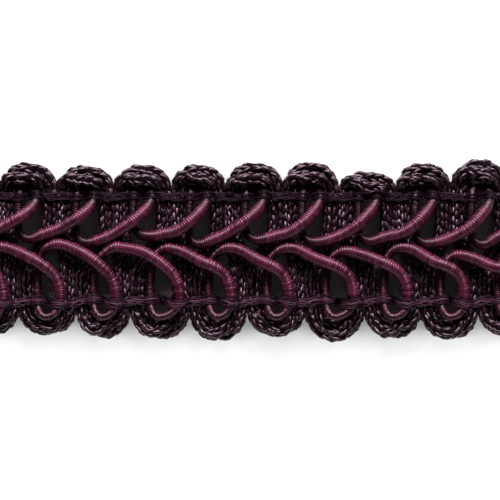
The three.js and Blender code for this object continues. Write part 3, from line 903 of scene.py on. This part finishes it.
def add_light(name, azimuth, elevation, width, height, power, lit):
    """A soft panel that faces the trim's middle and lights the given things. azimuth is measured
    from +Y towards +X."""
    data = bpy.data.lights.new(name, "AREA")
    data.shape = "RECTANGLE"
    data.size, data.size_y, data.energy = width, height, power
    light = bpy.data.objects.new(name, data)
    a, e = math.radians(azimuth), math.radians(elevation)
    place = Vector((math.sin(a) * math.cos(e), math.cos(a) * math.cos(e), math.sin(e)))
    place *= LIGHT_DISTANCE
    light.location = place
    light.rotation_euler = (-place).to_track_quat("-Z", "Y").to_euler()
    bpy.context.scene.collection.objects.link(light)
    receivers = bpy.data.collections.new(name + "_lit")
    for thing in lit:
        receivers.objects.link(thing)
    light.light_linking.receiver_collection = receivers


def add_world():
    world = bpy.data.worlds.new("studio")
    world.use_nodes = True
    background = world.node_tree.nodes["Background"]
    background.inputs["Color"].default_value = (1, 1, 1, 1)
    background.inputs["Strength"].default_value = WORLD_STRENGTH
    bpy.context.scene.world = world


add_camera()
floor = add_floor()
add_world()
bpy.context.scene.view_settings.view_transform = "Standard"

KNIT_STOPS = [
    (0.25, (0.004, 0.0013, 0.0027)),
    (0.55, (0.014, 0.0042, 0.0088)),
    (0.85, (0.044, 0.017, 0.03)),
]
# The core: the knit's yarn painted darker and matt, a painted shade in the gaps between the
# stitches.
CORE_PAINTED_SHADE_STOPS = [(0.2, (0.002, 0.0008, 0.0015)), (0.8, (0.007, 0.0025, 0.005))]
SATIN_STOPS = [
    (0.2, (0.009, 0.0004, 0.0028)),
    (0.5, (0.05, 0.003, 0.015)),
    (0.85, (0.15, 0.02, 0.06)),
]
# One binding thread in two colours: the upper band darker, a painted shade under the upper
# scallops, and the lower band lighter, a painted light.
UPPER_BINDING_SHADED_STOPS = [
    (0.25, (0.002, 0.0007, 0.0016)),
    (0.55, (0.008, 0.0026, 0.006)),
    (0.85, (0.03, 0.01, 0.022)),
]
LOWER_BINDING_LIT_STOPS = [
    (0.25, (0.015, 0.0045, 0.01)),
    (0.55, (0.042, 0.014, 0.029)),
    (0.85, (0.1, 0.037, 0.07)),
]
KNIT_LOOK = dict(streaks=42.0, gloss=0.75, relief=0.014, spread=0.5)
CORE_LOOK = dict(streaks=30.0, roughness=0.8, gloss=0.05, relief=0.01, spread=0.3)
SATIN_LOOK = dict(streaks=45.0, roughness=0.38, gloss=0.55, relief=0.008, spread=0.8, cross=True)
BINDING_LOOK = dict(streaks=50.0, roughness=0.5, relief=0.008, spread=0.6)

knit_a = yarn_material("knitted_yarn_a", KNIT_STOPS, roughness=0.36, **KNIT_LOOK)
knit_b = yarn_material("knitted_yarn_b", KNIT_STOPS, roughness=0.38, **KNIT_LOOK)
core_painted_shade = yarn_material("yarn_core", CORE_PAINTED_SHADE_STOPS, **CORE_LOOK)
satin_upper = yarn_material("satin_wrap_upper", SATIN_STOPS, **SATIN_LOOK)
satin_lower = yarn_material("satin_wrap_lower", SATIN_STOPS, **SATIN_LOOK)
# Lit and shaded copies of the binding thread: painted shade on the upper band, painted light on the
# lower, in colour and gloss.
binding_upper = yarn_material(
    "binding_threads_upper", UPPER_BINDING_SHADED_STOPS, gloss=0.15, **BINDING_LOOK
)
binding_lower = yarn_material(
    "binding_threads_lower", LOWER_BINDING_LIT_STOPS, gloss=0.2, **BINDING_LOOK
)

# The last number of each cord, band and set of filaments is the seed of its unevenness.
ground_a = knitted("ground_knit_a", 1, "ground_cord_a", "knitted_yarn_a", knit_a, core_painted_shade, 11)
ground_b = knitted("ground_knit_b", -1, "ground_cord_b", "knitted_yarn_b", knit_b, core_painted_shade, 12)

upper_loops = named(UPPER_COLUMNS, UPPER_LOOPS)
lower_loops = named(LOWER_COLUMNS, LOWER_LOOPS)
upper_points = satin_route(
    upper_loops, UPPER_SWEEP, UPPER_RETURN, UPPER_RETURN_OFFSET, UPPER_CUTS, follows_tip=True
)
lower_points = satin_route(
    lower_loops, LOWER_SWEEP, LOWER_RETURN, LOWER_RETURN_OFFSET, LOWER_CUTS, follows_tip=False
)
slim, full = (SATIN_SLIM, SATIN_SLIM), (SATIN_FULL, SATIN_FULL)
upper_route, lower_route = Route(upper_points, slim, full), Route(lower_points, slim, full)
# Painted shade on the slim ways back of each satin cord, strong at the upper edge, light at the
# lower.
UPPER_SLIM_PAINTED_SHADE = 1.1
LOWER_SLIM_PAINTED_SHADE = 0.35
satin(
    "satin_wrap_upper", upper_route, UPPER_SLIM_PAINTED_SHADE,
    "satin_cord_upper", "satin_wrap_upper", satin_upper, 21,
)
satin(
    "satin_wrap_lower", lower_route, LOWER_SLIM_PAINTED_SHADE,
    "satin_cord_lower", "satin_wrap_lower", satin_lower, 22,
)

# The bands' own shifts, at places from the middle of every scallop. The upper threads ride up over
# each satin foot. The lower band steps down from each foot's left to its right, and climbs again
# over the legs.
UPPER_SHIFT_AT = (-0.2, 0.6, 1.3)
UPPER_SHIFTS = (-0.06, 0.12, -0.06)
LOWER_SHIFT_AT = (-0.6, 1.1)
LOWER_SHIFTS = (0.19, -0.19)
UPPER_THREAD_SPACING = 0.1
LOWER_THREAD_SPACING = 0.112


def slant(loops, places, shifts):
    """The shift across the trim as a function of x, the same beside every scallop."""
    at = [loop["x"] + place for loop in loops for place in places]
    return lambda xs: np.interp(xs, at, shifts * len(loops))


binding(
    "binding_threads_upper", UPPER_BAND, UPPER_THREAD_SPACING,
    slant(upper_loops, UPPER_SHIFT_AT, UPPER_SHIFTS), [ground_a, ground_b, upper_route],
    "binding_upper", "binding_threads_upper", binding_upper, 31,
)
binding(
    "binding_threads_lower", LOWER_BAND, LOWER_THREAD_SPACING,
    slant(lower_loops, LOWER_SHIFT_AT, LOWER_SHIFTS), [ground_a, ground_b, lower_route],
    "binding_lower", "binding_threads_lower", binding_lower, 32,
)

stray_filaments(
    "stray_satin_lower", lower_route, "satin_cord_lower", "satin_wrap_lower", satin_lower, 41
)
stray_filaments(
    "stray_satin_upper", upper_route, "satin_cord_upper", "satin_wrap_upper", satin_upper, 42
)
stray_filaments("stray_knit_a", ground_a, "ground_cord_a", "knitted_yarn_a", knit_a, 43)

# The key and a low fill light the trim. Low panels all round light the floor, so that it is bright
# beside the trim and dark in the small openings between the cords.
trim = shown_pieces()
LIGHTS = [  # azimuth, elevation, width, height, power
    ("key", 0, 32, 0.5, 0.12, 7.2, trim),
    ("low_fill", 180, 20, 0.5, 0.1, 0.6, trim),
    ("floor_back", 0, 7, 0.5, 0.03, 32.0, [floor]),
    ("floor_front", 180, 7, 0.5, 0.03, 10.0, [floor]),
    ("floor_left", -90, 14, 0.7, 0.05, 9.5, [floor]),
    ("floor_right", 90, 14, 0.7, 0.05, 9.5, [floor]),
]
for light in LIGHTS:
    add_light(*light)
